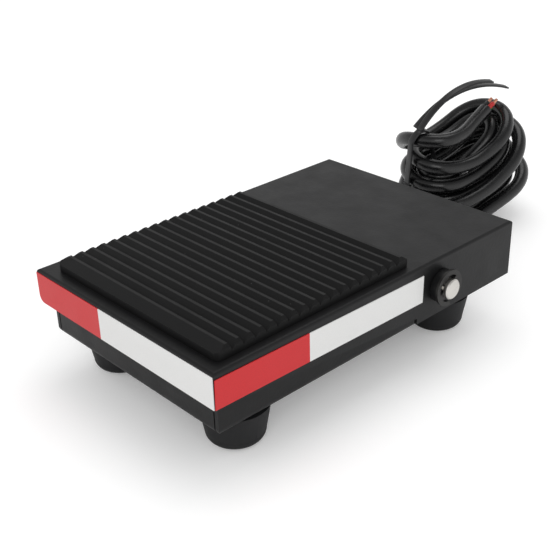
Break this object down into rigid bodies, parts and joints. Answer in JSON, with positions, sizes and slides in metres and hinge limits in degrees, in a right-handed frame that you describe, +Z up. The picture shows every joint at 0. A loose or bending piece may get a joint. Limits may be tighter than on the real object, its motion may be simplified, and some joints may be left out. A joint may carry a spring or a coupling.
{
  "type": "sewing machine foot pedal",
  "caption": "Low foot pedal: a ribbed treadle cover hinged on a cross pin over a tray on rubber feet, with a cord at the rear.",
  "frame": {"origin": "under the middle of the pedal, on the surface that the feet stand on", "axes": "+X across the pedal towards the flange that carries the side strip; -Y towards the toe end, +Y towards the cord end; +Z up"},
  "size_m": [0.0786, 0.1793, 0.0496],
  "materials": {
    "cover_paint": "satin dark grey powder coat",
    "tray_paint": "satin dark grey powder coat",
    "pad_rubber": "satin black ribbed rubber",
    "foot_rubber": "matt charcoal rubber",
    "strip_red": "semi-gloss red film",
    "strip_white": "semi-gloss white film",
    "pin_steel": "bright turned steel",
    "clip_steel": "blackened spring steel",
    "spring_steel": "spring steel",
    "zinc_steel": "zinc-plated steel",
    "black_plastic": "moulded black plastic",
    "switch_plastic": "moulded black thermoset",
    "plunger_plastic": "red moulded plastic",
    "terminal_brass": "bare brass",
    "card": "tan insulating card",
    "cord_jacket": "glossy black flexible jacket",
    "wire_red": "red insulation",
    "wire_black": "black insulation",
    "wire_green": "green insulation",
    "copper": "bare copper strands",
    "tie_plastic": "black plastic-covered wire tie"
  },
  "bodies": {
    "base": {"base_tray": "tray_paint", "hinge_pin": "pin_steel", "pin_spacers": "black_plastic", "retaining_clips": "clip_steel", "foot_front_left": "foot_rubber", "foot_front_right": "foot_rubber", "foot_rear_left": "foot_rubber", "foot_rear_right": "foot_rubber", "foot_screws": "zinc_steel", "foot_nuts": "zinc_steel", "spring_seat": "zinc_steel", "return_spring": "spring_steel", "down_stop": "foot_rubber", "rest_stops": "foot_rubber", "switch_body": "switch_plastic", "switch_bracket": "zinc_steel", "bracket_rivets": "zinc_steel", "switch_screws": "zinc_steel", "switch_nuts": "zinc_steel", "switch_terminals": "terminal_brass", "insulating_card": "card", "strain_relief": "black_plastic", "cord_inner_jacket": "cord_jacket", "cord_clamp": "zinc_steel", "clamp_screws": "zinc_steel", "earth_ring": "terminal_brass", "earth_screw": "zinc_steel", "red_wire": "wire_red", "black_wire": "wire_black", "green_wire": "wire_green", "cord_lead": "cord_jacket", "cord_hank": "cord_jacket", "cord_tail": "cord_jacket", "cord_end_cores": "wire_red", "cord_end_strands": "copper", "hank_tie": "tie_plastic"},
    "treadle": {"treadle_cover": "cover_paint", "tread_pad": "pad_rubber", "front_strip_red": "strip_red", "front_strip_white": "strip_white", "side_strip_red": "strip_red", "side_strip_white": "strip_white", "striker_plate": "zinc_steel", "spring_cup": "zinc_steel"},
    "lever": {"switch_lever": "spring_steel"},
    "plunger": {"switch_plunger": "plunger_plastic"}
  },
  "joints": [
    {"name": "treadle_hinge", "type": "hinge", "parent": "base", "child": "treadle", "pos_m": [0, 0.0228, 0.0218], "axis": [1, 0, 0], "range_deg": [0, 4.2], "stiffness_Nm_per_rad": 2.2, "springref_deg": -2.86, "deforming": ["return_spring"]},
    {"name": "lever_hinge", "type": "hinge", "parent": "base", "child": "lever", "pos_m": [0.015, 0.0064, 0.0244], "axis": [1, 0, 0], "range_deg": [0, 7]},
    {"name": "plunger_slide", "type": "slide", "parent": "base", "child": "plunger", "axis": [0, 0, -1], "range_m": [0, 0.0008]}
  ],
  "couplings": [
    {"joint": "lever_hinge", "follows": "treadle_hinge", "ratio": 1.66},
    {"joint": "plunger_slide", "follows": "treadle_hinge", "m_per_rad": 0.0102}
  ]
}
